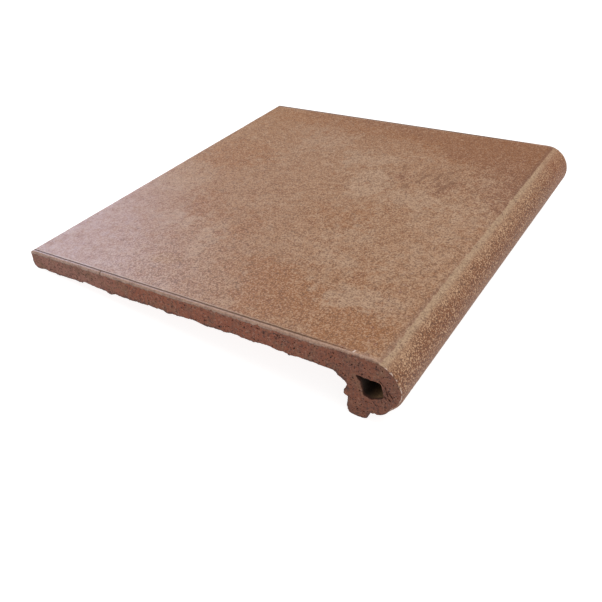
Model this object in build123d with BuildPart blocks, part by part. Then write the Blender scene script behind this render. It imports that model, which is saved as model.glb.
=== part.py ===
# A stair tread tile of fired clay, extruded in one piece along its nose and wire-cut at both ends.
# The plate covers the step, the hollow round nose hangs over its edge, and the leg under the nose
# covers the top of the riser and sheds the rain.
# +X runs from the tail to the nose, +Y along the nose, +Z is up. The tile lies as it does on a level
# floor, on the lower corner of its tail and on the back corner of its foot, so the plate slopes.
# The origin is under the middle of the tile, on the floor. Everything is in millimetres.

import math
import os

from build123d import *

# The plate.
tread_length = 330.0
tread_depth = 300.0
tail_thickness = 14.0
root_thickness = 16.4
tail_top_round = 1.5
tail_bottom_round = 4.0

# The nose and its leg. The leg's back face is measured from the front of the nose, and the foot's
# drop from the lowest line of the roll.
nose_radius = 20.0
leg_setback = 35.2
foot_width = 12.2
foot_drop = 6.3
foot_round = 2.5
cove_radius = 9.5

# The hollow that the core bar of the die leaves, as corners about the centre of the roll, and the
# rounding of each corner. The first corner is the drawn-out tip that points back to the plate.
core_corners = [(-9.9, 5.4), (7.2, 4.9), (9.0, -5.4), (0.9, -9.5), (-4.7, -8.2), (-6.5, 1.4)]
core_rounds = [0.3, 2.5, 1.8, 1.5, 1.2, 2.0]

# The shallow flutes under the plate that the mortar keys into.
flute_pitch = 10.0
flute_width = 5.5
flute_depth = 0.7
flute_margin = 8.0

# The rounded shoulder along the top of each cut end, and the fine groove beside it.
shoulder_radius = 1.8
groove_radius = 0.5
groove_inset = 2.6

# Places along the section, from the tail at 0 to the front of the nose, with the top face at height 0.
roll_x = tread_depth - nose_radius
roll_y = -nose_radius
leg_x = tread_depth - leg_setback
foot_y = -2 * nose_radius - foot_drop
underside_slope = math.atan2(root_thickness - tail_thickness, leg_x)


def underside(x):
    return -tail_thickness - x * math.tan(underside_slope)


# The tile leans on two round corners, so its slope is that of the line that touches both.
tail_contact = (tail_bottom_round, underside(tail_bottom_round) + tail_bottom_round / math.cos(underside_slope))
foot_contact = (leg_x + foot_round, foot_y + foot_round)
reach = math.dist(tail_contact, foot_contact)
fall = math.atan2(foot_contact[1] - tail_contact[1], foot_contact[0] - tail_contact[0])
slope = math.asin((foot_round - tail_bottom_round) / reach) - fall


def sloped(x, y):
    return x * math.cos(slope) - y * math.sin(slope), x * math.sin(slope) + y * math.cos(slope)


floor_height = sloped(*tail_contact)[1] - tail_bottom_round
tail_end = sloped(tail_top_round, -tail_top_round)[0] - tail_top_round
nose_end = sloped(roll_x, roll_y)[0] + nose_radius
corner = Vector(-(tail_end + nose_end) / 2, 0, -floor_height)
along_depth = Vector(math.cos(slope), 0, math.sin(slope))
section_plane = Plane(origin=corner, x_dir=along_depth, z_dir=(0, -1, 0))
end_plane = Plane(origin=corner, x_dir=(0, 1, 0), z_dir=along_depth)

flute_radius = (flute_width**2 / 4 + flute_depth**2) / (2 * flute_depth)
flute_start = tail_bottom_round + flute_margin
flute_count = int((leg_x - cove_radius - flute_margin - flute_start) / flute_pitch) + 1
flute_places = [flute_start + i * flute_pitch for i in range(flute_count)]

with BuildPart() as stair_tread:
    # The section that the die gives: plate, cove, leg, foot and the round nose.
    with BuildSketch(section_plane) as section:
        with BuildLine():
            FilletPolyline(
                (roll_x, 2 * roll_y),
                (leg_x + foot_width, foot_y),
                (leg_x, foot_y),
                (leg_x, underside(leg_x)),
                (0, underside(0)),
                (0, 0),
                (roll_x, 0),
                radius=[foot_round, foot_round, cove_radius, tail_bottom_round, tail_top_round],
            )
            ThreePointArc((roll_x, 0), (tread_depth, roll_y), (roll_x, 2 * roll_y))
        make_face()
        with Locations(*[(x, underside(x) + flute_depth - flute_radius) for x in flute_places]):
            Circle(flute_radius, mode=Mode.SUBTRACT)
    extrude(amount=tread_length / 2, both=True)

    # The hollow runs through the nose from end to end.
    with BuildSketch(section_plane) as core:
        with BuildLine():
            FilletPolyline(
                *[(roll_x + x, roll_y + y) for x, y in core_corners],
                radius=core_rounds,
                close=True,
            )
        make_face()
    extrude(amount=tread_length / 2, both=True, mode=Mode.SUBTRACT)

    # A straight cut along each end rounds its top edge. It runs out over the roll of the nose.
    with BuildSketch(end_plane) as shoulders:
        for side in (-1, 1):
            with Locations((side * tread_length / 2, 0)):
                Rectangle(2 * shoulder_radius, 2 * shoulder_radius)
            with Locations((side * (tread_length / 2 - shoulder_radius), -shoulder_radius)):
                Circle(shoulder_radius, mode=Mode.SUBTRACT)
            with Locations((side * (tread_length / 2 - groove_inset), 0)):
                Circle(groove_radius)
    extrude(amount=tread_depth, mode=Mode.SUBTRACT)

os.makedirs("parts", exist_ok=True)
stair_tread.part.label = "stair_tread"
export_step(stair_tread.part, "parts/stair_tread.step")
print("slope of the plate at rest, degrees:", round(math.degrees(slope), 2))
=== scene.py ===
import math

import bpy
import numpy as np
from mathutils import Matrix, Vector
from mathutils.geometry import delaunay_2d_cdt


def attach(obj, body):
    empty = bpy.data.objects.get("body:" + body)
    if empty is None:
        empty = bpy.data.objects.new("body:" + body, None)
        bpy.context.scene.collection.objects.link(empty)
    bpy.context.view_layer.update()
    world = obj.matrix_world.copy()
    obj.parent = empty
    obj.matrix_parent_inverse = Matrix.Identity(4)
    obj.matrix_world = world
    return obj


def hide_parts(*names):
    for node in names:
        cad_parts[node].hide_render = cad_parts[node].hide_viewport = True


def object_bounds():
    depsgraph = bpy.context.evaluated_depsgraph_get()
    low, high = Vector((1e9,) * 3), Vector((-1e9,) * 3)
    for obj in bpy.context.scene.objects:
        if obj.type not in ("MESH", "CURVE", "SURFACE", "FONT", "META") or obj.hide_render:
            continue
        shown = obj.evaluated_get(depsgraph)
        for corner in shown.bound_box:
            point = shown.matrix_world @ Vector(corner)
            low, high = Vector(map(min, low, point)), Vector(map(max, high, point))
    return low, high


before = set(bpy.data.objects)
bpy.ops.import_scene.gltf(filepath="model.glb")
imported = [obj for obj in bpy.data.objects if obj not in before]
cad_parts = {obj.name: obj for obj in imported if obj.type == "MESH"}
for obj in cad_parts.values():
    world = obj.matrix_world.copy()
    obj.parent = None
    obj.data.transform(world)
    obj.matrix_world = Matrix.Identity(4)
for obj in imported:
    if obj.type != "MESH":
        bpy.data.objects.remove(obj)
cad_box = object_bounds()

# The clay column
# The tile is pushed out of a die as one column of stiff clay: a plate for the step, a hollow roll for
# the nose, and a leg under the roll that covers the riser. Its section is drawn here in metres, with
# the tail at 0, the top face at height 0, and the roll at the far end of the depth.
tread_length = 0.330
tread_depth = 0.300
tail_thickness = 0.0140
root_thickness = 0.0164
tail_top_round = 0.0015
tail_bottom_round = 0.0040
nose_radius = 0.0200
leg_setback = 0.0352
foot_width = 0.0122
foot_drop = 0.0063
foot_round = 0.0025
cove_radius = 0.0095

roll = np.array([tread_depth - nose_radius, -nose_radius])
leg = tread_depth - leg_setback
foot = -2 * nose_radius - foot_drop
underside_fall = (root_thickness - tail_thickness) / leg


def underside(along):
    return -tail_thickness - along * underside_fall


def rounded(before, corner, after, radius, step):
    """Points round one corner of the section."""
    before, corner, after = np.array(before), np.array(corner), np.array(after)
    back = (before - corner) / np.linalg.norm(before - corner)
    ahead = (after - corner) / np.linalg.norm(after - corner)
    half = math.acos(back @ ahead) / 2
    inward = (back + ahead) / np.linalg.norm(back + ahead)
    centre = corner + inward * radius / math.sin(half)
    arms = np.array([back, ahead]) * radius / math.tan(half) + corner - centre
    start, end = np.arctan2(arms[:, 1], arms[:, 0])
    turn = (end - start + math.pi) % (2 * math.pi) - math.pi
    angles = start + np.linspace(0, turn, max(3, math.ceil(abs(turn) * radius / step) + 1))
    return centre + radius * np.stack([np.cos(angles), np.sin(angles)], 1)


def filled(points, step):
    """The same line with points added on its straight stretches, none further apart than the step."""
    rounding_error = 1e-6
    made = [points[:1]]
    for start, end in zip(points[:-1], points[1:]):
        count = math.ceil(np.linalg.norm(end - start) / step - rounding_error)
        made.append(start + (end - start) * np.linspace(0, 1, max(count, 1) + 1)[1:, None])
    return np.concatenate(made)


# The flutes under the plate, which the mortar keys into, and where across each one its arc has points.
flute_pitch = 0.010
flute_width = 0.0055
flute_depth = 0.0007
flute_margin = 0.0080
flute_count = 24
flute_marks = np.arange(-10, 10) * 0.0005
flutes = tail_bottom_round + flute_margin + flute_pitch * np.arange(flute_count)
flute_round = (flute_width**2 / 4 + flute_depth**2) / (2 * flute_depth)

# The line where the printed face ends and the sanded nose begins, a nick in the near edge, and a sliver
# of clay that stuck across the groove there. The sliver drifts along the depth as it runs inwards.
nose_line = 0.2866
nick = 0.0700
nick_half_width = 0.0006
nick_reach = 0.0022
nick_depth = 0.0009
sliver = 0.2689
sliver_drift = 0.25
sliver_width = 0.00048
sliver_height = 0.00030
sliver_start = 0.0016
sliver_end = 0.0041

# How far apart the points of the section lie: on the tail's top corner, the corners of the leg, the leg,
# the tail's lower corner, the tail's flat and the top face. They close up over the nick and the sliver.
tail_top_step = 0.0004
corner_step = 0.0007
leg_step = 0.0005
tail_bottom_step = 0.0009
tail_flat_step = 0.0012
top_step = 0.0026
top_start = 0.0040
top_end = roll[0] - 0.0010
before_mark = 0.0020
after_mark = 0.0030
nick_marks = np.array([-0.0012, -0.0007, -0.0003, 0, 0.0003, 0.0007, 0.0012])
sliver_marks = np.arange(-5, 6) * 0.00030
nose_points = 70

middle_of_tail = (0.0, -tail_thickness / 2)
foot_front = (leg + foot_width, foot)
foot_back = (leg, foot)
root = (leg, underside(leg))
tail_foot = (0.0, underside(0))

top_places = np.concatenate([
    np.arange(top_start, nick - before_mark, top_step),
    nick + nick_marks,
    np.arange(nick + after_mark, sliver - before_mark, top_step),
    sliver + sliver_marks,
    np.arange(sliver + after_mark, top_end, top_step),
])
roll_turn = np.linspace(math.pi / 2, -math.pi / 2, nose_points)
after_flutes = flutes[-1:] + flute_pitch / 2
under_places = np.concatenate([(flutes[:, None] + flute_marks).ravel(), after_flutes])[::-1]
off_flute = np.abs((under_places - flutes[0] + flute_pitch / 2) % flute_pitch - flute_pitch / 2)
flute_rise = np.maximum(np.sqrt(flute_round**2 - off_flute**2) - flute_round + flute_depth, 0)

tail_top = rounded(middle_of_tail, (0.0, 0.0), (roll[0], 0.0), tail_top_round, tail_top_step)
foot_to_root = filled(np.concatenate([
    [[roll[0], 2 * roll[1]]],
    rounded((roll[0], 2 * roll[1]), foot_front, foot_back, foot_round, corner_step),
    rounded(foot_front, foot_back, root, foot_round, corner_step),
    rounded(foot_back, root, tail_foot, cove_radius, corner_step),
]), leg_step)[1:]
tail_back = filled(np.concatenate([
    rounded(root, tail_foot, middle_of_tail, tail_bottom_round, tail_bottom_step),
    [middle_of_tail],
]), tail_flat_step)[:-1]

# Each stretch of the section, with its points.
stretches = {
    "tail_top": filled(np.concatenate([[middle_of_tail], tail_top]), tail_flat_step),
    "top": np.stack([top_places, 0 * top_places], 1),
    "nose": roll + nose_radius * np.stack([np.cos(roll_turn), np.sin(roll_turn)], 1),
    "leg": foot_to_root,
    "under": np.stack([under_places, underside(under_places) + flute_rise], 1),
    "tail_back": tail_back,
}
section = np.concatenate(list(stretches.values()))
stretch_of_row = np.repeat(list(stretches), [len(points) for points in stretches.values()])
tangent = np.roll(section, -1, 0) - np.roll(section, 1, 0)
outward = np.stack([-tangent[:, 1], tangent[:, 0]], 1) / np.linalg.norm(tangent, axis=1)[:, None]

# The way round the section to each point, counted from the line at the nose.
steps_round = np.linalg.norm(np.diff(section, axis=0), axis=1)
girth = np.concatenate([[0], np.cumsum(steps_round)])
on_roll = stretch_of_row == "nose"
upper_roll = on_roll & (section[:, 1] > roll[1])
girth -= np.interp(nose_line, section[upper_roll, 0], girth[upper_roll])

# The tile leans on two round corners, the tail's lower one and the back of the foot.
tail_contact = np.array([tail_bottom_round, underside(tail_bottom_round) + tail_bottom_round])
foot_contact = np.array([leg + foot_round, foot + foot_round])
reach = foot_contact - tail_contact
slope = math.asin((foot_round - tail_bottom_round) / np.hypot(*reach)) - math.atan2(reach[1], reach[0])
lift = tail_bottom_round - tail_contact @ [math.sin(slope), math.cos(slope)]
tail_reach = cad_box[0].x + tail_top_round - tail_top_round * (math.cos(slope) + math.sin(slope))
least_height = 0.00003


def laid(along, height, across):
    """Places in the section and along the nose, as the tile lies on the floor."""
    return np.stack([
        along * math.cos(slope) - height * math.sin(slope) + tail_reach,
        across - tread_length / 2,
        np.maximum(along * math.sin(slope) + height * math.cos(slope) + lift, least_height),
    ], -1)


# The cut edges
# A wire cuts the soft column to length, and a straight tool rounds the top edge of both cuts and
# leaves a fine groove beside it. Below, the wire drags out crumbs and leaves a ragged edge.
shoulder_radius = 0.0018
groove_radius = 0.0005
groove_inset = 0.0026
groove_end = 0.2710
groove_fade = 0.0060
shoulder_marks = shoulder_radius * (1 - np.cos(np.radians([0, 18, 32, 46, 60, 75, 90])))
groove_marks = groove_inset + groove_radius * np.array([-1, -0.85, -0.5, 0, 0.5, 0.85, 1])
top_marks = np.concatenate([shoulder_marks, groove_marks, [0.0036, 0.0043, 0.0052, 0.0062]])
low_marks = np.array([0, 0.0004, 0.0009, 0.0015, 0.0022, 0.0030, 0.0040, 0.0051, 0.0064])

# How far each kind of row steps along the nose between its two ends, and the depth of its relief, which is
# partly rough and partly in lumps, over a slow sway of the whole tile.
row_steps = {
    "tail_top": 0.0050, "top": 0.0050, "nose": 0.0010,
    "leg": 0.0040, "under": 0.0120, "tail_back": 0.0050,
}
relief_depth = {
    "tail_top": 0.00008, "top": 0.00003, "nose": 0.00011,
    "leg": 0.00018, "under": 0.00014, "tail_back": 0.00012,
}
rough_share = 0.55
lump_share = 0.45
lump_size = 0.0017
sway_size = 0.0430
sway_depth = 0.00006
rough_seed = 5
lump_seed = 3
sway_seed = 4
near_seed = 11
far_seed = 23


def places_along(end_marks, step):
    """Places along the nose, close together at both ends."""
    start = end_marks[-1]
    count = math.ceil((tread_length - 2 * start) / step)
    between_ends = np.linspace(start, tread_length - start, count + 1)[1:-1]
    return np.concatenate([end_marks, between_ends, tread_length - end_marks[::-1]])


def lumps(first, second, size, seed, cells=64):
    """Smooth seeded relief between -1 and 1, in lumps of about the given size."""
    heights = np.random.RandomState(seed).uniform(-1, 1, (cells, cells))
    first, second = np.broadcast_arrays(first / size, second / size)
    column, row = np.floor(first).astype(int), np.floor(second).astype(int)
    share, rise = first - column, second - row
    share, rise = share**2 * (3 - 2 * share), rise**2 * (3 - 2 * rise)
    left, right = column % cells, (column + 1) % cells
    below, above = row % cells, (row + 1) % cells
    low = heights[left, below] * (1 - share) + heights[right, below] * share
    high = heights[left, above] * (1 - share) + heights[right, above] * share
    return low * (1 - rise) + high * rise


def fading(distance, reach, power=2):
    """1 at no distance, dying away round the reach, and the more suddenly the higher the power."""
    return np.exp(-((distance / reach) ** power))


def edge_limit(along, from_end):
    """How high the clay may reach at this place near a cut end, below the top face."""
    inward = np.clip(1 - from_end / shoulder_radius, 0, 1)
    shoulder = shoulder_radius * (np.sqrt(1 - inward**2) - 1)
    groove = np.sqrt(np.maximum(groove_radius**2 - (from_end - groove_inset) ** 2, 0))
    return shoulder - groove * np.clip((groove_end - along) / groove_fade, 0, 1)


# Crumbs, dips and burrs along the near cut: place along the depth, height, reach and how far proud.
near_burrs = [
    (0.0100, -0.0140, 0.0060, -0.0005),
    (0.0250, -0.0142, 0.0050, 0.0004),
    (0.0540, -0.0145, 0.0080, -0.0011),
    (0.0765, -0.0147, 0.0060, 0.0017),
    (0.0950, -0.0149, 0.0160, 0.0008),
    (0.1300, -0.0152, 0.0060, 0.0009),
    (0.1500, -0.0154, 0.0070, -0.0005),
    (0.1620, -0.0155, 0.0050, 0.0007),
    (0.1840, -0.0157, 0.0080, -0.0009),
    (0.2070, -0.0159, 0.0090, -0.0008),
    (0.2270, -0.0161, 0.0080, 0.0004),
    (0.2480, -0.0163, 0.0060, 0.0005),
    (0.2585, -0.0175, 0.0060, 0.0012),
    (0.2620, -0.0193, 0.0060, 0.0018),
    (0.2705, -0.0463, 0.0050, 0.0006),
]
# Two crumbs that hang from the back of the leg at the near cut: height, and how far proud.
leg_crumbs = [
    (-0.0452, 0.0), (-0.0440, 0.0004), (-0.0408, 0.0014), (-0.0367, 0.0003), (-0.0332, 0.0),
    (-0.0327, 0.0022), (-0.0313, 0.0031), (-0.0290, 0.0027), (-0.0256, 0.0010), (-0.0241, 0.0005),
    (-0.0225, 0.0),
]
# Where the lower front of the roll is chipped at the near cut: turn below the front in degrees, and how
# far proud.
nose_chips = [
    (-90, 0.0003), (-87, 0.0007), (-83, -0.0003), (-80, 0.0006), (-71, 0.0004), (-63, -0.0001),
    (-55, -0.0010), (-44, -0.0022), (-33, -0.0019), (-22, -0.0014), (-14, -0.0008), (-5, -0.0003),
    (3, 0.0),
]
# The dragged lower edges: how far they reach from the cut and how far the painted shade among their
# crumbs reaches, their long tears, their short frays, and the crumbs that stand up between them. The drag
# fills most of each flute there.
torn_reach = 0.0024
torn_shade_reach = 0.0016
tear_size = 0.0031
tear_height = 0.00024
fray_size = 0.0009
fray_height = 0.00016
crumb_size = 0.0014
crumb_height = 0.00085
crumb_least = 0.20
crumb_line = 0.1
leg_back = leg + 0.0004
filled_flute = 0.6


def torn(points, row_girth, from_end, seed):
    """How far the dragged clay stands out of the lower edge of a cut."""
    tears = lumps(row_girth, 0.0, tear_size, seed) * tear_height
    ragged = tears + lumps(row_girth, 0.0, fray_size, seed + 2) * fray_height
    crumbs = np.maximum(lumps(row_girth, crumb_line, crumb_size, seed + 1) - crumb_least, 0) * crumb_height
    if seed == near_seed:
        heights, prouds = np.array(leg_crumbs).T
        ragged = ragged + np.interp(points[:, 1], heights, prouds) * (points[:, 0] < leg_back)
    return (ragged + crumbs)[:, None] * fading(from_end, torn_reach)


def burred(points, from_end):
    """How far the burrs of the near cut stand out, and its dips lie back."""
    proud = np.zeros(len(points))
    for along, height, reach, most in near_burrs:
        apart = np.hypot(points[:, 0] - along, points[:, 1] - height) / reach
        proud += most * np.maximum(1 - apart**2, 0) ** 2
    return proud[:, None] * fading(from_end, torn_reach)


def chipped(points, from_end):
    """How far the chipped front of the roll stands out at the near cut."""
    turns, prouds = np.array(nose_chips).T
    turn = np.degrees(np.arctan2(points[:, 1] - roll[1], points[:, 0] - roll[0]))
    return np.interp(turn, turns, prouds)[:, None] * fading(from_end, torn_reach)


# The printed skin ends low under the roll and just round the tail's top edge, and the slip that it is
# printed on reaches a little over the edges of the bare cuts, as it ran and was wiped.
skin_over_edge = 0.0015
bare_under_roll = 0.0140
skin_round_tail = 0.0045
skin_end = girth[on_roll][-1] - bare_under_roll
skin_start = girth[stretch_of_row == "top"][0] - skin_round_tail

# What the mesh is made of, and what its colours need at each point: how far past the line at the nose it
# lies, how far past the edge of the skin, how deep in a cut or the hollow, and how much of the painted
# shade of a torn edge it takes.
points_made = []
past_nose = []
past_skin = []
sunk_in = []
torn_shade_share = []
rows = []
point_count = 0
for stretch in stretches:
    chosen = stretch_of_row == stretch
    has_shoulder = stretch in ("tail_top", "top", "nose")
    across = places_along(top_marks if has_shoulder else low_marks, row_steps[stretch])
    points, normals, row_girth = section[chosen], outward[chosen], girth[chosen]
    from_near, from_far = across, tread_length - across
    from_either = np.minimum(from_near, from_far)
    rough = np.random.RandomState(rough_seed).uniform(-1, 1, (len(points), len(across)))
    lumpy = lumps(row_girth[:, None], across[None, :], lump_size, lump_seed)
    sway = lumps(row_girth[:, None], across[None, :], sway_size, sway_seed)
    out = relief_depth[stretch] * (rough_share * rough + lump_share * lumpy - 1)
    out = out + sway_depth * (sway - 1) + burred(points, from_near)
    if stretch == "nose":
        out += chipped(points, from_near)
    # Painted shade along the torn lower edges.
    torn_shade_here = np.zeros(len(across))
    if stretch in ("leg", "under", "tail_back"):
        torn_shade_here = fading(from_either, torn_shade_reach)
        out += torn(points, row_girth, from_near, near_seed) + torn(points, row_girth, from_far, far_seed)
    if stretch == "under":
        out += filled_flute * flute_rise[:, None] * fading(from_either, torn_reach)
    along = points[:, :1] + normals[:, :1] * out
    height = points[:, 1:] + normals[:, 1:] * out
    in_nick = fading(points[:, :1] - nick, nick_half_width) * fading(from_near, nick_reach, 4)
    cut_down = np.minimum(height, edge_limit(points[:, :1], from_either[None, :]) - nick_depth * in_nick)
    off_sliver = points[:, :1] - sliver - (from_near - groove_inset) * sliver_drift
    on_sliver = fading(off_sliver, sliver_width) * ((from_near > sliver_start) & (from_near < sliver_end))
    cut_down = cut_down + sliver_height * on_sliver
    off_skin = np.maximum(0, np.maximum(skin_start - row_girth, row_girth - skin_end))
    worn_off = (height - cut_down) * skin_over_edge / shoulder_radius
    points_made.append(laid(along, cut_down, np.broadcast_to(across, along.shape)).reshape(-1, 3))
    past_nose.append(np.repeat(row_girth, len(across)))
    past_skin.append(np.maximum(off_skin[:, None], worn_off).ravel())
    sunk_in.append(np.zeros(along.size))
    torn_shade_share.append(np.broadcast_to(torn_shade_here, along.shape).ravel())
    for i in range(len(points)):
        rows.append((np.arange(point_count, point_count + len(across)), across))
        point_count += len(across)


def strip(first, second):
    """Faces between two rows of points along the nose, whatever their spacing."""
    (left, left_places), (right, right_places) = first, second
    if len(left) == len(right):
        return [tuple(face) for face in np.stack([left[:-1], right[:-1], right[1:], left[1:]], 1).tolist()]
    made, i, j = [], 0, 0
    while i < len(left) - 1 or j < len(right) - 1:
        if j == len(right) - 1 or (i < len(left) - 1 and left_places[i + 1] < right_places[j + 1]):
            made.append((int(left[i]), int(right[j]), int(left[i + 1])))
            i += 1
        else:
            made.append((int(left[i]), int(right[j]), int(right[j + 1])))
            j += 1
    return made


faces = []
for row, next_row in zip(rows, rows[1:] + rows[:1]):
    faces += strip(row, next_row)

# The hollow
# A core bar in the die leaves a hollow through the nose, so that the thick roll dries and fires
# without cracking. Two of its six sides meet in a drawn-out tip that points back to the plate.
core_corners = np.array([
    (-0.0099, 0.0054), (0.0072, 0.0049), (0.0090, -0.0054),
    (0.0009, -0.0095), (-0.0047, -0.0082), (-0.0065, 0.0014),
])
core_rounds = [0.0003, 0.0025, 0.0018, 0.0015, 0.0012, 0.0020]
core_step = 0.0009
core_marks = np.array([0, 0.0005, 0.0012, 0.0022, 0.0035, 0.0052])
core_row_step = 0.0060
core_lump_size = 0.0024
core_lump_depth = 0.00016
core_tear_size = 0.0015
core_tear_depth = 0.00034
core_torn_reach = 0.0020
core_lump_seed = 31
core_tear_seed = 32

# The hollow is bare and takes half the painted shade of a torn edge all the way through, and its looks are
# told the same everywhere.
hollow_past_skin = 0.0080
hollow_torn_shade = 0.4

core_neighbours = zip(np.roll(core_corners, 1, 0), core_corners, np.roll(core_corners, -1, 0), core_rounds)
core = np.concatenate([rounded(*corner, corner_step) for corner in core_neighbours]) + roll
core = filled(np.concatenate([core, core[:1]]), core_step)[:-1]
core_places = places_along(core_marks, core_row_step)
core_tangent = np.roll(core, -1, 0) - np.roll(core, 1, 0)
core_inward = np.stack([core_tangent[:, 1], -core_tangent[:, 0]], 1)
core_inward /= np.linalg.norm(core_inward, axis=1)[:, None]
core_girth = np.concatenate([[0], np.cumsum(np.linalg.norm(np.diff(core, axis=0), axis=1))])
core_from_end = np.minimum(core_places, tread_length - core_places)
core_lumpy = lumps(core_girth[:, None], core_places[None, :], core_lump_size, core_lump_seed)
core_torn = lumps(core_girth[:, None], 0.0, core_tear_size, core_tear_seed) * core_tear_depth
core_out = core_lumpy * core_lump_depth + core_torn * fading(core_from_end, core_torn_reach)[None, :]
core_along = core[:, :1] + core_inward[:, :1] * core_out
core_height = core[:, 1:] + core_inward[:, 1:] * core_out
core_across = np.broadcast_to(core_places, core_along.shape)
points_made.append(laid(core_along, core_height, core_across).reshape(-1, 3))
past_nose.append(np.zeros(core_along.size))
past_skin.append(np.full(core_along.size, hollow_past_skin))
sunk_in.append(np.broadcast_to(core_from_end, core_along.shape).ravel())
torn_shade_share.append(np.full(core_along.size, hollow_torn_shade))
core_rows = []
for i in range(len(core)):
    core_rows.append((np.arange(point_count, point_count + len(core_places)), core_places))
    point_count += len(core_places)
for row, next_row in zip(core_rows, core_rows[1:] + core_rows[:1]):
    faces += strip(next_row, row)

# The cut ends
# The wire leaves both ends flat and open, with the pores of the coarse clay, a few torn grooves beside
# the hollow where a grain was dragged, and fine streaks in the direction of the cut.

# The points over a cut: how far apart they are, how far each strays, how far they stay off the outline,
# and how deep the cut and its streaks lie.
grid_step = 0.0013
grid_jitter = 0.3
off_border = 0.0007
least_off_border = 0.0003
cut_sunk = 0.00010
streak_width = 0.0016
streak_narrowing = 0.2
streak_depth = 0.00005
cut_roughness = 0.00004

# Pores: their share of the grid's points, their widths, and how deep their ledge and their bottom lie, in
# widths.
plate_pores = 0.17
nose_pores = 0.28
pore_off_border = 0.0013
pore_off_slit = 0.0012
pore_width = 0.00024
pore_more_width = 0.00044
pore_smallness = 1.6
pore_sides = 7
pore_flattest = 0.7
pore_tallest = 1.2
pore_clearance = 1.9
pore_rim_sunk = 0.00006
pore_ledge = 0.62
pore_ledge_sunk = 1.1
pore_bottom_sunk = 1.6

# Torn grooves: their size, and where those of the near end run, from and to, in the section. The far end
# has none.
slit_step = 0.0007
slit_half_width = 0.00062
slit_end_share = 0.12
slit_thinnest = 0.6
slit_widest = 1.3
slit_clearance = 0.0008
slit_marks = 6
slit_rim_sunk = 0.00002
slit_sunk = 0.0013
near_slits = [
    ((0.2894, -0.0162), (0.2902, -0.0194)),
    ((0.2900, -0.0188), (0.2912, -0.0230)),
    ((0.2914, -0.0196), (0.2944, -0.0236)),
    ((0.2890, -0.0236), (0.2902, -0.0258)),
    ((0.2866, -0.0246), (0.2868, -0.0276)),
    ((0.2872, -0.0281), (0.2874, -0.0294)),
    ((0.2912, -0.0245), (0.2930, -0.0262)),
    ((0.2861, -0.0135), (0.2875, -0.0150)),
]

# How far the painted shade of the torn lower edge and of the hollow's mouth reaches over the cut.
edge_shade_reach = 0.0011
mouth_shade_reach = 0.0012

# The face of a cut is divided into triangles in millimetres, and points this near each other are one.
millimetres = 1000
same_point = 1e-7


def inside(points, ring):
    """Whether each point lies in the ring, by the number of its sides that a ray crosses."""
    hardly_any = 1e-12
    start, end = ring, np.roll(ring, -1, 0)
    spans = (start[:, 1] > points[:, 1:]) != (end[:, 1] > points[:, 1:])
    rise = np.where(end[:, 1] == start[:, 1], hardly_any, end[:, 1] - start[:, 1])
    crossing = start[:, 0] + (points[:, 1:] - start[:, 1]) / rise * (end[:, 0] - start[:, 0])
    return (spans & (points[:, :1] < crossing)).sum(1) % 2 == 1


def nearest(points, others):
    """Distance from each point to the nearest of the others, and which that is."""
    apart = np.linalg.norm(points[:, None] - others[None], axis=2)
    return apart.min(1), apart.argmin(1)


def section_place(points):
    """Places on the floor's frame as places in the section."""
    across_floor = points[:, 0] - tail_reach
    up = points[:, 2] - lift
    return np.stack([across_floor * math.cos(slope) + up * math.sin(slope),
                     up * math.cos(slope) - across_floor * math.sin(slope)], 1)


def pore(place, width, chance):
    """The points of one pore, its rim, its ledge and its bottom, and how deep each lies in the cut."""
    turn = np.arange(pore_sides) * math.tau / pore_sides + chance.uniform(0, 1)
    circle = np.stack([np.cos(turn), np.sin(turn) * chance.uniform(pore_flattest, pore_tallest)], 1)
    points = np.concatenate([place + circle * width, place + circle * width * pore_ledge, place[None]])
    sinks = np.repeat([0.0, pore_ledge_sunk, pore_bottom_sunk], [pore_sides, pore_sides, 1])
    return points, pore_rim_sunk + width * sinks


def slit(start, end, chance):
    """The points of one torn groove, three abreast, and how deep each lies in the cut."""
    ahead = (end - start) / np.linalg.norm(end - start)
    side = np.array([-ahead[1], ahead[0]])
    points = []
    for share in np.linspace(0, 1, max(3, int(np.linalg.norm(end - start) / slit_step))):
        place = start + (end - start) * share
        swell = math.sin(math.pi * (slit_end_share + (1 - 2 * slit_end_share) * share))
        width = slit_half_width * swell * chance.uniform(slit_thinnest, slit_widest)
        points += [place - side * width, place, place + side * width]
    return np.array(points), np.tile([slit_rim_sunk, slit_sunk, slit_rim_sunk], len(points) // 3)


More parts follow.
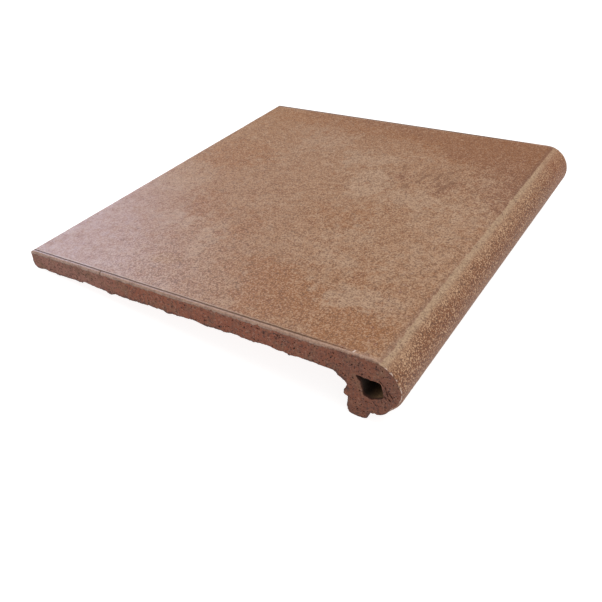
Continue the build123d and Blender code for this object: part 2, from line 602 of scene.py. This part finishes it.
def cut_relief(ring, hole, seed, slits):
    """Points inside the outline of a cut, in the section, and how deep each lies in it."""
    chance = np.random.RandomState(seed)
    low, high = ring.min(0), ring.max(0)
    spans = [np.arange(low[i], high[i], grid_step) for i in range(2)]
    grid = np.stack([places.ravel() for places in np.meshgrid(*spans)], 1)
    grid += chance.uniform(-grid_jitter, grid_jitter, grid.shape) * grid_step
    grid = grid[inside(grid, ring) & ~inside(grid, hole)]
    border = np.concatenate([ring, hole])
    grid = grid[nearest(grid, border)[0] > off_border]
    streak = lumps(grid[:, 0], grid[:, 1] * streak_narrowing, streak_width, seed + 1)
    sunk = cut_sunk + streak_depth * streak + cut_roughness * chance.uniform(-1, 1, len(grid))
    pore_share = np.where(grid[:, 1] < underside(leg), nose_pores, plate_pores)
    pores = grid[chance.uniform(0, 1, len(grid)) < pore_share]
    pores = pores[nearest(pores, border)[0] > pore_off_border]
    for start, end in slits:
        pores = pores[nearest(pores, np.linspace(start, end, slit_marks))[0] > pore_off_slit]
    widths = pore_width + pore_more_width * chance.uniform(0, 1, len(pores)) ** pore_smallness
    kept = np.ones(len(grid), bool)
    added = []
    for place, width in zip(pores, widths):
        kept &= np.linalg.norm(grid - place, axis=1) > width * pore_clearance
        added.append(pore(place, width, chance))
    for start, end in slits:
        added.append(slit(np.array(start), np.array(end), chance))
        kept &= nearest(grid, added[-1][0][1::3])[0] > slit_clearance
    inner = np.concatenate([grid[kept], *[points for points, sinks in added]])
    inner_sunk = np.concatenate([sunk[kept], *[sinks for points, sinks in added]])
    clear = inside(inner, ring) & ~inside(inner, hole) & (nearest(inner, border)[0] > least_off_border)
    return inner[clear], inner_sunk[clear]


skin_points = np.concatenate(points_made)
skin_rows = (girth > skin_start) & (girth < skin_end)
low_rows = np.isin(stretch_of_row, ["leg", "under", "tail_back"])


def cut_end(which, seed, slits):
    """Makes the face of one cut end, sewn to the last points of the column and of the hollow."""
    ring_ids = np.array([row[0][which] for row in rows])
    hole_ids = np.array([row[0][which] for row in core_rows])
    ring, hole = section_place(skin_points[ring_ids]), section_place(skin_points[hole_ids])
    inner, inner_sunk = cut_relief(ring, hole, seed, slits)
    flat = np.concatenate([ring, hole, inner]) * millimetres
    sides = [(i, (i + 1) % len(ring)) for i in range(len(ring))]
    sides += [(len(ring) + i, len(ring) + (i + 1) % len(hole)) for i in range(len(hole))]
    found = delaunay_2d_cdt([Vector(point) for point in flat], sides, [], 1, same_point, True)
    places, triangles, origins = found[0], found[2], found[3]
    ids = np.concatenate([ring_ids, hole_ids, point_count + np.arange(len(inner))])
    centres = np.array([np.mean([places[i] for i in face], axis=0) for face in triangles]) / millimetres
    open_there = inside(centres, hole) | ~inside(centres, ring)
    for face, is_open in zip(triangles, open_there):
        if not is_open:
            corners = [int(ids[origins[i][0]]) for i in face]
            faces.append(tuple(corners if which == 0 else corners[::-1]))
    from_near = inner_sunk if which == 0 else tread_length - inner_sunk
    points_made.append(laid(inner[:, 0], inner[:, 1], from_near))
    apart, row = nearest(inner, section[skin_rows])
    past_nose.append(girth[skin_rows][row])
    past_skin.append(apart - shoulder_radius * (inner[:, 0] < roll[0]) + skin_over_edge)
    sunk_in.append(inner_sunk)
    # Painted shade along the torn lower edge and round the hollow's mouth.
    edge_shade = fading(nearest(inner, section[low_rows])[0], edge_shade_reach)
    mouth_shade = hollow_torn_shade * fading(nearest(inner, hole)[0], mouth_shade_reach)
    torn_shade_share.append(np.maximum(edge_shade, mouth_shade))
    return len(inner)


point_count += cut_end(0, near_seed, near_slits)
point_count += cut_end(-1, far_seed, [])

sharp_edge = math.radians(50)
clay = bpy.data.meshes.new("stair_tread_clay")
clay.from_pydata(np.concatenate(points_made).tolist(), [], faces)
clay.validate()
for name, values in (
    ("past_nose", past_nose), ("past_skin", past_skin), ("sunk_in", sunk_in), ("torn_shade_share", torn_shade_share),
):
    measure = clay.attributes.new(name, "FLOAT", "POINT")
    measure.data.foreach_set("value", np.concatenate(values).astype(np.float32))
clay.polygons.foreach_set("use_smooth", [True] * len(clay.polygons))
clay.set_sharp_from_angle(angle=sharp_edge)
tread = bpy.data.objects.new("stair_tread_tile", clay)
bpy.context.scene.collection.objects.link(tread)

# The fired clay
# One coarse brown-red body, bare on the cuts, the underside and the leg. The top face carries a printed
# and lightly glazed pattern of tan and rust clouds, and the nose is dusted with sand before firing.
fired_clay = bpy.data.materials.new("fired_clay")
fired_clay.use_nodes = True
fired_clay.node_tree.nodes.clear()


class Field:
    """What a node of the fired clay gives over its surface. Sums and products of it add Math nodes."""

    def __init__(self, socket):
        self.socket = socket

    @classmethod
    def node(cls, kind, settings, inputs, output=0):
        """One node of the fired clay: its settings first, then its sockets."""
        made = fired_clay.node_tree.nodes.new(kind)
        for name, value in settings.items():
            setattr(made, name, value)
        for name, value in inputs.items():
            if isinstance(value, cls):
                fired_clay.node_tree.links.new(value.socket, made.inputs[name])
            elif made.inputs[name].type == "RGBA":
                made.inputs[name].default_value = (*value, 1.0)
            else:
                made.inputs[name].default_value = value
        return cls(made.outputs[output]) if made.outputs else None

    def math(self, operation, *values):
        return self.node("ShaderNodeMath", {"operation": operation}, dict(enumerate(values)))

    def __add__(self, other):
        return self.math("ADD", self, other)

    def __sub__(self, other):
        return self.math("SUBTRACT", self, other)

    def __rsub__(self, other):
        return self.math("SUBTRACT", other, self)

    def __mul__(self, other):
        return self.math("MULTIPLY", self, other)

    def __truediv__(self, other):
        return self.math("DIVIDE", self, other)

    def __rtruediv__(self, other):
        return self.math("DIVIDE", other, self)

    def __neg__(self):
        return self.math("SUBTRACT", 0.0, self)

    def __abs__(self):
        return self.math("ABSOLUTE", self)

    __radd__ = __add__
    __rmul__ = __mul__

    def between(self, low, high):
        """0 below the low value, 1 above the high one, and a smooth rise from one to the other."""
        settings = {"interpolation_type": "SMOOTHSTEP"}
        return self.node("ShaderNodeMapRange", settings, {"Value": self, "From Min": low, "From Max": high})

    def tint(self, colour, other):
        """The first colour where this is 0, the other where it is 1."""
        return self.node("ShaderNodeMix", {"data_type": "RGBA"}, {0: self, 6: colour, 7: other}, 2)


place = Field.node("ShaderNodeTexCoord", {}, {}, "Object")
x_floor = Field.node("ShaderNodeSeparateXYZ", {}, {"Vector": place}, "X")
y_floor = Field.node("ShaderNodeSeparateXYZ", {}, {"Vector": place}, "Y")
z_floor = Field.node("ShaderNodeSeparateXYZ", {}, {"Vector": place}, "Z")
along = (x_floor - tail_reach) * math.cos(slope) + (z_floor - lift) * math.sin(slope)
across = y_floor + tread_length / 2
from_end = tread_length / 2 - abs(y_floor)


def speck(size, detail, rough, off, vector=place):
    """Cloudy grain of about this size in metres, around one half."""
    inputs = {"Vector": vector, "W": off, "Scale": 1 / size, "Detail": detail, "Roughness": rough}
    return Field.node("ShaderNodeTexNoise", {"noise_dimensions": "4D"}, inputs)


def stretched(factors):
    """The place with its axes scaled, so that grain read there is drawn out along the smallest."""
    return Field.node("ShaderNodeVectorMath", {"operation": "MULTIPLY"}, {0: place, 1: factors})


def attribute(name):
    return Field.node("ShaderNodeAttribute", {"attribute_name": name}, {}, "Fac")


nose_side = attribute("past_nose")
bare_side = attribute("past_skin")
depth_in = attribute("sunk_in")
torn_shade_side = attribute("torn_shade_share")

# The bare body: brown-red, paler towards the tail and darker towards the nose, with dark pore specks, pale
# grog and the streaks of the wire. Painted shade darkens its pores and torn grooves, the crumbs of its torn
# edges and the hollow, which is black deep inside; painted light brightens the hollow's front side near the
# mouth.
body_tail = (0.265, 0.112, 0.080)
body_middle = (0.238, 0.070, 0.034)
body_nose = (0.199, 0.063, 0.031)
body_front = (0.180, 0.062, 0.033)
body_olive = (0.190, 0.092, 0.050)
body_streak = (0.120, 0.045, 0.030)
dark_speck_and_pore_shade = (0.070, 0.026, 0.018)
body_grog = (0.360, 0.200, 0.140)
crumb_shade_colour = (0.060, 0.026, 0.020)
hollow_painted_light = (0.300, 0.180, 0.085)
hollow_painted_shade = (0.020, 0.012, 0.006)
streaks = speck(0.0030, 3, 0.8, 1.0, stretched((1.0, 1.0, 0.3))).between(0.46, 0.66)
streaks_shown = 0.45 + along.between(0.230, 0.265) * 0.20
grog_shown = 0.45 - along.between(0.220, 0.260) * 0.15
# Painted shade, speckled, among the crumbs of the torn edges.
crumb_shade_speck = (speck(0.0022, 2, 0.6, 23.0) - 0.5 + torn_shade_side * 0.10).between(0.02, 0.09)
# Painted light on the hollow's front side near the mouth, painted shade on its left wall.
hollow_light_and_shade = along.between(0.2765, 0.2850).tint(hollow_painted_shade, hollow_painted_light)
# Paler towards the tail and darker towards the nose.
body = along.between(0.050, 0.110).tint(body_tail, body_middle)
body = along.between(0.200, 0.275).tint(body, body_nose)
body = along.between(0.281, 0.292).tint(body, body_front)
body = (speck(0.0110, 3, 0.7, 0.0).between(0.48, 0.66) * 0.7).tint(body, body_olive)
body = (streaks * streaks_shown).tint(body, body_streak)
body = (speck(0.0013, 2, 0.7, 2.0).between(0.55, 0.61) * 0.95).tint(body, dark_speck_and_pore_shade)
body = (speck(0.0015, 2, 0.6, 4.0).between(0.54, 0.66) * grog_shown).tint(body, body_grog)
# Painted shade among the crumbs of the torn edges and in the hollow's mouth.
body = (crumb_shade_speck * torn_shade_side * 0.75).tint(body, crumb_shade_colour)
# Painted shade in the pores and torn grooves of the cuts, and just inside the hollow's mouth.
body = (depth_in.between(0.0002, 0.0005) * 0.85).tint(body, dark_speck_and_pore_shade)
# Painted shade deepening into the hollow, with its painted light near the mouth.
body = (depth_in.between(0.0006, 0.0030) * 0.90).tint(body, hollow_light_and_shade)
body = (depth_in.between(0.0070, 0.0200) * 0.85).tint(body, hollow_painted_shade)

# The printed face: tan, with rust, burnt and beige clouds that dissolve into fine grain. It is redder
# towards the far end and the nose, with a painted highlight on its lip beside the groove and a painted
# shadow before the line at the nose.
print_tan = (0.307, 0.152, 0.070)
print_rust = (0.274, 0.102, 0.025)
print_burnt = (0.186, 0.059, 0.017)
print_beige = (0.370, 0.226, 0.135)
print_ochre = (0.300, 0.140, 0.030)
print_warm = (0.320, 0.125, 0.012)
print_far = (0.228, 0.072, 0.006)
print_far_nose = (0.180, 0.050, 0.004)
print_speck = (0.120, 0.055, 0.027)
print_fleck = (0.500, 0.330, 0.215)
print_dark_spot = (0.120, 0.050, 0.028)
print_stroke = (0.150, 0.058, 0.020)
lip_highlight = (0.440, 0.290, 0.215)
nose_line_shadow = (0.130, 0.050, 0.024)
# Clouds placed one by one: centre along the depth and across, reach each way, and how strong they are.
rust_clouds = [
    (0.090, 0.314, 0.065, 0.020, 0.9),
    (0.170, 0.304, 0.026, 0.014, 0.8),
    (0.040, 0.212, 0.032, 0.026, 0.8),
    (0.036, 0.182, 0.026, 0.012, 0.5),
    (0.064, 0.134, 0.014, 0.020, 0.5),
    (0.084, 0.108, 0.016, 0.016, 0.6),
    (0.122, 0.096, 0.012, 0.028, 0.5),
    (0.184, 0.142, 0.024, 0.020, 0.6),
    (0.165, 0.054, 0.024, 0.012, 0.8),
    (0.197, 0.032, 0.026, 0.024, 1.2),
    (0.256, 0.022, 0.026, 0.018, 1.1),
    (0.240, 0.074, 0.020, 0.014, 0.4),
    (0.222, 0.286, 0.030, 0.022, 0.8),
]
burnt_clouds = [
    (0.052, 0.322, 0.020, 0.010, 0.5),
    (0.125, 0.322, 0.040, 0.010, 0.7),
    (0.225, 0.318, 0.075, 0.020, 0.9),
    (0.258, 0.296, 0.042, 0.030, 1.0),
    (0.276, 0.255, 0.022, 0.060, 0.6),
    (0.286, 0.260, 0.012, 0.060, 0.7),
    (0.212, 0.284, 0.012, 0.012, 0.5),
    (0.232, 0.216, 0.014, 0.014, 0.6),
    (0.193, 0.222, 0.011, 0.009, 0.6),
    (0.195, 0.030, 0.012, 0.012, 0.3),
]
beige_clouds = [
    (0.092, 0.278, 0.030, 0.028, 0.8),
    (0.152, 0.244, 0.024, 0.014, 0.6),
    (0.172, 0.198, 0.013, 0.022, 1.1),
    (0.216, 0.188, 0.024, 0.015, 0.8),
    (0.260, 0.172, 0.028, 0.036, 0.5),
    (0.194, 0.270, 0.022, 0.013, 0.5),
    (0.256, 0.238, 0.010, 0.012, 0.4),
    (0.024, 0.150, 0.024, 0.026, 0.7),
    (0.070, 0.088, 0.016, 0.013, 0.5),
    (0.106, 0.066, 0.010, 0.020, 0.8),
    (0.204, 0.110, 0.022, 0.028, 0.5),
    (0.248, 0.050, 0.022, 0.011, 1.0),
    (0.256, 0.106, 0.022, 0.022, 0.3),
]
ochre_clouds = [(0.100, 0.037, 0.009, 0.005, 0.65)]
stroke_clouds = [(0.220, 0.224, 0.042, 0.026, 0.6)]
wander = 0.050
wandered = along + (speck(0.0300, 5, 0.75, 7.0) - 0.5) * wander
wandered_across = across + (speck(0.0300, 5, 0.75, 9.0) - 0.5) * wander


def clouds(chosen):
    """The sum of soft clouds, with edges that wander."""
    total = 0.0
    for centre, centre_across, reach_along, reach_across, strength in chosen:
        one = (wandered - centre) / reach_along
        other = (wandered_across - centre_across) / reach_across
        total = total + (1 - (one * one + other * other).between(0.0, 2.4)) * strength
    return total


def grained(colour, noise, spread, dark, pale):
    """The colour with dark specks where the noise is high and pale flecks where it is low."""
    colour = (noise.between(0.0, spread) * dark).tint(colour, print_speck)
    return ((-noise).between(0.0, spread) * pale).tint(colour, print_fleck)


grain = speck(0.0120, 5, 0.95, 1.0) - 0.5
blotch = speck(0.0075, 1, 0.5, 24.0) - 0.5
mid_grain = speck(0.0036, 2, 0.7, 8.0) - 0.5
fine_grain = speck(0.0011, 2, 0.7, 6.0) - 0.5
rust_drift = (speck(0.0300, 4, 0.75, 3.0) - 0.5) * 1.6
beige_drift = (speck(0.0300, 4, 0.75, 5.0) - 0.5) * 1.6
rust = clouds(rust_clouds) + rust_drift + grain * 2.4 + blotch * 1.8 + mid_grain * 0.8
burnt = clouds(burnt_clouds) + grain * 2.4 + blotch * 1.4 + mid_grain * 1.2
beige = clouds(beige_clouds) + beige_drift - grain * 2.0 - blotch * 1.8
face = (beige.between(-0.1, 0.9) * 0.9).tint(print_tan, print_beige)
face = (rust.between(0.05, 1.05) * 0.9).tint(face, print_rust)
face = (burnt.between(0.05, 1.15) * 0.9).tint(face, print_burnt)
face = clouds(ochre_clouds).tint(face, print_ochre)

far_side = across.between(0.225, 0.315)
tail_side = 1 - along.between(0.010, 0.100)
nose_half = along.between(0.120, 0.260)
far_nose = along.between(0.190, 0.265) * across.between(0.190, 0.290)
face = (far_side * (0.56 + nose_half * 0.24 - tail_side * 0.25)).tint(face, print_far)
face = (tail_side * across.between(0.080, 0.180) * 0.28).tint(face, print_warm)
face = (nose_half * across.between(0.020, 0.120) * 0.10).tint(face, print_far)
face = (far_nose * 0.30).tint(face, print_far_nose)

# The grain of the print, which is fainter along the far side and in the near tail corner, with a few
# larger spots and one patch of short strokes.
near_tail_corner = (1 - along.between(0.0, 0.130)) * (1 - across.between(0.020, 0.220))
shown = 1 - far_side * (nose_half * 0.22 + 0.12) - near_tail_corner * 0.65
spots = speck(0.0034, 2, 0.5, 8.0).between(0.70, 0.76)
strokes = speck(0.0045, 2, 0.6, 26.0, stretched((1.0, 0.4, 1.0))).between(0.55, 0.61)
face = grained(face, mid_grain, 0.14, shown * 0.20, shown * 0.14)
face = grained(face, fine_grain, 0.11, shown * 0.68, shown * 0.54)
face = (spots * 0.7).tint(face, print_dark_spot)
face = (strokes * clouds(stroke_clouds) * 0.90).tint(face, print_stroke)

# A painted highlight on the lip beside the groove, and a painted shadow on the print before the line at the
# nose.
lip_highlight_mask = (1 - from_end.between(0.0034, 0.0048)) * (1 - along.between(0.150, 0.250) * 0.7)
mid_length = across.between(0.060, 0.150) * (1 - across.between(0.200, 0.240))
# Painted shadow on the print just before the line at the nose.
before_line = nose_side.between(-0.0042, -0.0012) * (0.38 - mid_length * 0.24)
face = (lip_highlight_mask * 0.75).tint(face, lip_highlight)
face = before_line.tint(face, nose_line_shadow)

# The nose: a smooth pale line first, then sand on a rusty ground that thins out under the roll. Its far
# end is redder, as the face is there.
line_pale = (0.390, 0.252, 0.152)
line_tan = (0.334, 0.207, 0.118)
nose_tan = (0.322, 0.174, 0.093)
nose_rust = (0.192, 0.061, 0.015)
nose_far = (0.250, 0.060, 0.010)
sand_dark = (0.095, 0.040, 0.020)
sand_light = (0.590, 0.380, 0.232)
sand = speck(0.0011, 1, 0.5, 10.0) - 0.5
patches = (speck(0.0220, 4, 0.7, 11.0) - 0.5) * 0.030
ground = (nose_side + patches).between(0.0015, 0.0160).tint(nose_tan, nose_rust)
sand_edge = (speck(0.0050, 4, 0.8, 12.0) - 0.5) * 0.014
sanded = (nose_side + sand_edge).between(-0.0010, 0.0085) * (1 - nose_side.between(0.0200, 0.0300) * 0.5)
slip = grained(grain.between(-0.10, 0.10).tint(line_pale, line_tan), fine_grain, 0.12, 0.55, 0.36)
nose = nose_side.between(0.0020, 0.0060).tint(slip, ground)
nose = (sand.between(0.01, 0.11) * sanded * 0.76).tint(nose, sand_dark)
nose = ((-sand).between(0.02, 0.13) * sanded * 0.62).tint(nose, sand_light)
nose = (across.between(0.260, 0.310) * 0.20).tint(nose, nose_far)

line_lobes = (speck(0.0100, 2, 0.5, 25.0) - 0.5) * (0.0050 - across.between(0.150, 0.300) * 0.0036)
line_fray = (speck(0.0030, 3, 0.7, 13.0) - 0.5) * 0.0016
on_nose = (nose_side + line_lobes + line_fray).between(-0.0005, 0.0004)
skin = on_nose.tint(face, nose)

# The rounded edge beside the groove carries the plain slip without the print, worn and dirty.
edge_pale = (0.458, 0.298, 0.240)
edge_brown = (0.420, 0.260, 0.186)
edge_dirty = (0.210, 0.115, 0.083)
edge_speck = (0.120, 0.062, 0.045)
edge_wander = (speck(0.0030, 2, 0.5, 14.0) - 0.5) * 0.0006
edge_band = 1 - (from_end + edge_wander).between(0.0019, 0.0023)
edge_band = edge_band * (1 - nose_side.between(-0.0100, 0.0040))
worn = bare_side * (1 + along.between(0.250, 0.264) * 1.4) + (speck(0.0040, 4, 0.8, 19.0) - 0.5) * 0.0070
edge = along.between(0.040, 0.140).tint(edge_pale, edge_brown)
edge = worn.between(-0.0002, 0.0022).tint(edge, edge_dirty)
edge = (fine_grain.between(-0.02, 0.10) * 0.45).tint(edge, edge_speck)
skin = (edge_band * 0.9).tint(skin, edge)

# Painted shade darkens the groove and the nick, and the sliver and the chips at the nose's edge show
# pale clay.
groove_shade = (0.110, 0.052, 0.020)
nick_shade = (0.105, 0.052, 0.024)
chip_pale = (0.640, 0.480, 0.400)
groove_wander = (speck(0.0060, 3, 0.7, 21.0) - 0.5) * 0.0012
off_groove = abs(from_end - groove_inset + groove_wander)
in_groove = (1 - off_groove.between(0.0004, 0.0012)) * (1 - along.between(groove_end - 0.0400, groove_end))
# Painted shade in the groove.
skin = (in_groove * 0.8).tint(skin, groove_shade)
off_sliver = abs(along - sliver - (across - groove_inset) * sliver_drift)
on_sliver = 1 - off_sliver.between(sliver_width * 0.8, sliver_width * 1.2)
sliver_run = (1 - across.between(0.0037, 0.0043)) * across.between(0.0012, 0.0018)
skin = (on_sliver * sliver_run * 0.9).tint(skin, chip_pale)
off_nick = abs(along - nick + (across - 0.0012) * 0.2)
in_nick = (1 - off_nick.between(0.0003, 0.0008)) * (1 - across.between(0.0024, 0.0030))
# Painted shade in the nick.
skin = (in_nick * 0.75).tint(skin, nick_shade)
edge_chips = (1 - from_end.between(0.0004, 0.0011)) * speck(0.0026, 2, 0.5, 27.0).between(0.50, 0.55)
skin = (edge_chips * nose_side.between(-0.0010, 0.0020) * 0.75).tint(skin, chip_pale)

# The skin ends in a ragged line low on the shoulders, and higher up where they run out over the roll.
ragged = (speck(0.0050, 4, 0.85, 15.0) - 0.5) * 0.0060 + along.between(0.2400, 0.2650) * 0.0007
bare = (bare_side + ragged).between(0.0011, 0.0019)
colour = bare.tint(skin, body)

# The relief: fine pits in the print, sand on the nose, and a coarse body.
face_relief = fine_grain * -0.00006 + grain * -0.00008
nose_relief = (-sand).between(-0.12, 0.12) * 0.00009
body_relief = speck(0.0018, 4, 0.8, 17.0) * 0.00038
relief = face_relief + (nose_relief - face_relief) * on_nose * sanded
relief = relief + (body_relief - relief) * bare
bump = Field.node("ShaderNodeBump", {}, {"Strength": 1.0, "Distance": 1.0, "Height": relief})

# The print has a low sheen from its thin glaze, the sanded nose less, and the bare body none.
nose_roughness = 0.62
body_roughness = 0.85
roughness = 0.42 + grain * 0.4 + fine_grain * 0.4
roughness = roughness + (nose_roughness - roughness) * on_nose
roughness = roughness + (body_roughness - roughness) * bare
surface = Field.node("ShaderNodeBsdfPrincipled", {}, {
    "Base Color": colour,
    "Roughness": roughness,
    "Normal": bump,
})
Field.node("ShaderNodeOutputMaterial", {}, {"Surface": surface})

clay.materials.append(fired_clay)
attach(tread, "root")
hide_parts("stair_tread")

# The floor and the light
# The tile lies on a plain pale studio floor under a large soft light, with a second soft light low
# behind its tail corner, whose reflection is the pale sheen on the glaze.
half_floor = 40.0
floor_grey = (0.35, 0.35, 0.35, 1.0)
floor_glow = 0.88
studio_glow = 0.45
white = (1.0, 1.0, 1.0, 1.0)
floor_corners = [
    (-half_floor, -half_floor, 0), (half_floor, -half_floor, 0),
    (half_floor, half_floor, 0), (-half_floor, half_floor, 0),
]
floor_mesh = bpy.data.meshes.new("floor")
floor_mesh.from_pydata(floor_corners, [], [(0, 1, 2, 3)])
floor = bpy.data.objects.new("floor", floor_mesh)
bpy.context.scene.collection.objects.link(floor)
floor_paint = bpy.data.materials.new("floor_paint")
floor_paint.use_nodes = True
paint = floor_paint.node_tree.nodes["Principled BSDF"].inputs
paint["Base Color"].default_value = floor_grey
paint["Roughness"].default_value = 0.9
paint["Specular IOR Level"].default_value = 0.0
paint["Emission Color"].default_value = white
paint["Emission Strength"].default_value = floor_glow
floor_mesh.materials.append(floor_paint)

world = bpy.data.worlds.new("studio")
world.use_nodes = True
world.node_tree.nodes["Background"].inputs["Color"].default_value = white
world.node_tree.nodes["Background"].inputs["Strength"].default_value = studio_glow
bpy.context.scene.world = world


def soft_light(name, azimuth, elevation, distance, size, power, colour):
    """A square of soft light that faces the tile."""
    lamp = bpy.data.lights.new(name, "AREA")
    lamp.size = size
    lamp.energy = power
    lamp.color = colour
    holder = bpy.data.objects.new(name, lamp)
    turn, rise = math.radians(azimuth), math.radians(elevation)
    away = Vector((math.cos(turn) * math.cos(rise), math.sin(turn) * math.cos(rise), math.sin(rise)))
    holder.location = away * distance
    holder.rotation_euler = away.to_track_quat("Z", "Y").to_euler()
    bpy.context.scene.collection.objects.link(holder)


soft_light("overhead", azimuth=40, elevation=75, distance=2.0, size=2.0, power=34, colour=(1.0, 0.98, 0.95))
soft_light("sheen", azimuth=160, elevation=22, distance=1.3, size=0.6, power=5.7, colour=(0.62, 0.70, 1.0))

# The camera
# It stands where the photograph was taken from, off the near corner of the nose, and looks back and down
# over the tread. Its place and lens were fitted to the tile's straight edges.
camera_place = Vector((0.24613, -0.43911, 0.31861))
camera_heading = 119.31
camera_down = 37.97
camera_roll = 3.0
camera_data = bpy.data.cameras.new("camera")
camera_data.lens = 43.20
camera_data.sensor_width = 36.0
camera_data.shift_x = -0.0261
camera = bpy.data.objects.new("camera", camera_data)
camera.matrix_world = (
    Matrix.Translation(camera_place)
    @ Matrix.Rotation(math.radians(camera_heading - 90), 4, "Z")
    @ Matrix.Rotation(math.radians(90 - camera_down), 4, "X")
    @ Matrix.Rotation(math.radians(camera_roll), 4, "Z")
)
bpy.context.scene.collection.objects.link(camera)
bpy.context.scene.camera = camera
bpy.context.scene.view_settings.view_transform = "Standard"
